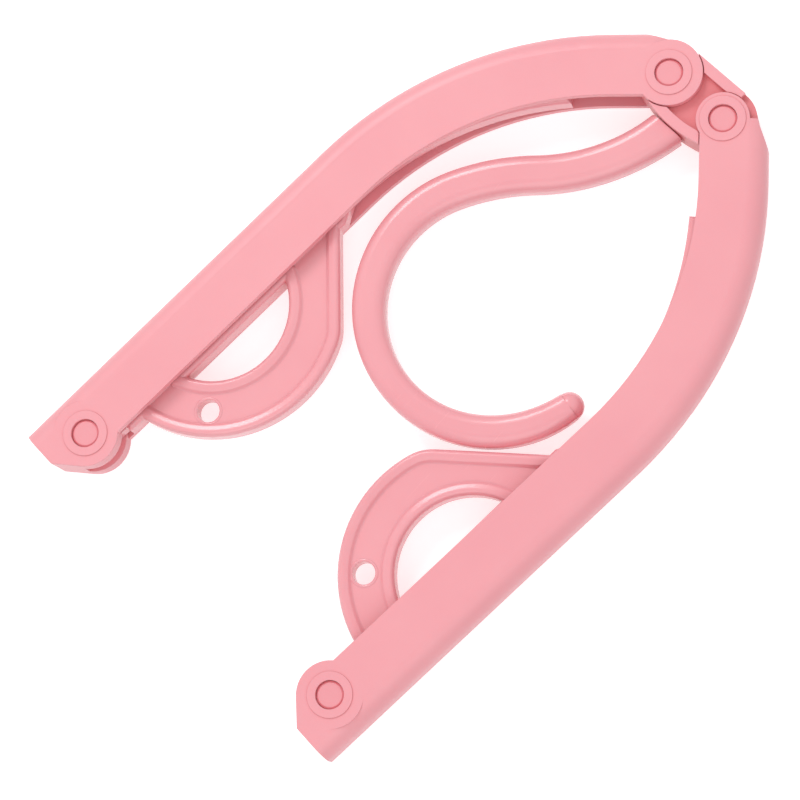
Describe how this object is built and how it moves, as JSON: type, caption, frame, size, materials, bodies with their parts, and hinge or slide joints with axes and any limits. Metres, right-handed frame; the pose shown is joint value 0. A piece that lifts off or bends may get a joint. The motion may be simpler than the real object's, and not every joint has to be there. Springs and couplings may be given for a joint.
{
  "type": "folding travel hanger",
  "caption": "Pocket-sized clothes hanger: channel arms fold on a hub round a stowed hook, and trouser bars with hanging loops swing out of the arms.",
  "frame": {"origin": "bottom centre of the folded hanger as it lies on its back", "axes": "+Z is the front, square to the hanger's plane; +Y points from the arm tips to the hub, which is up in use; +X runs from the left hub pivot to the right one"},
  "size_m": [0.1414, 0.222, 0.0153],
  "materials": {
    "moulded_plastic": "semi-gloss moulded plastic",
    "pin_plastic": "semi-gloss moulded plastic"
  },
  "bodies": {
    "hub": {"hub": "moulded_plastic", "left_hub_pin": "pin_plastic", "right_hub_pin": "pin_plastic"},
    "hook": {"hook": "moulded_plastic"},
    "left_arm": {"left_arm": "moulded_plastic", "left_tip_pin": "pin_plastic"},
    "right_arm": {"right_arm": "moulded_plastic", "right_tip_pin": "pin_plastic"},
    "left_bar": {"left_bar": "moulded_plastic"},
    "right_bar": {"right_bar": "moulded_plastic"}
  },
  "joints": [
    {"name": "left_arm_swing", "type": "hinge", "parent": "hub", "child": "left_arm", "pos_m": [-0.0013, 0.1011, 0.0075], "axis": [0, 0, -1], "range_deg": [0, 40.8]},
    {"name": "right_arm_swing", "type": "hinge", "parent": "hub", "child": "right_arm", "pos_m": [0.0198, 0.1011, 0.0075], "axis": [0, 0, 1], "range_deg": [0, 48.4]},
    {"name": "left_bar_swing", "type": "hinge", "parent": "left_arm", "child": "left_bar", "pos_m": [-0.0571, -0.09096, 0.0075], "axis": [0, 0, -1], "range_deg": [0, 25]},
    {"name": "right_bar_swing", "type": "hinge", "parent": "right_arm", "child": "right_bar", "pos_m": [0.04971, -0.09665, 0.0075], "axis": [0, 0, 1], "range_deg": [0, 25]},
    {"name": "hook_turn", "type": "hinge", "parent": "hub", "child": "hook", "pos_m": [0.00925, 0.1011, 0.0067], "axis": [1, 0, 0], "range_deg": [0, 180]}
  ],
  "couplings": [
    {"joint": "right_arm_swing", "follows": "left_arm_swing", "ratio": 1.1863},
    {"joint": "left_bar_swing", "follows": "left_arm_swing", "ratio": 0.61275},
    {"joint": "right_bar_swing", "follows": "left_arm_swing", "ratio": 0.61275},
    {"joint": "hook_turn", "follows": "left_arm_swing", "ratio": 4.4118}
  ]
}
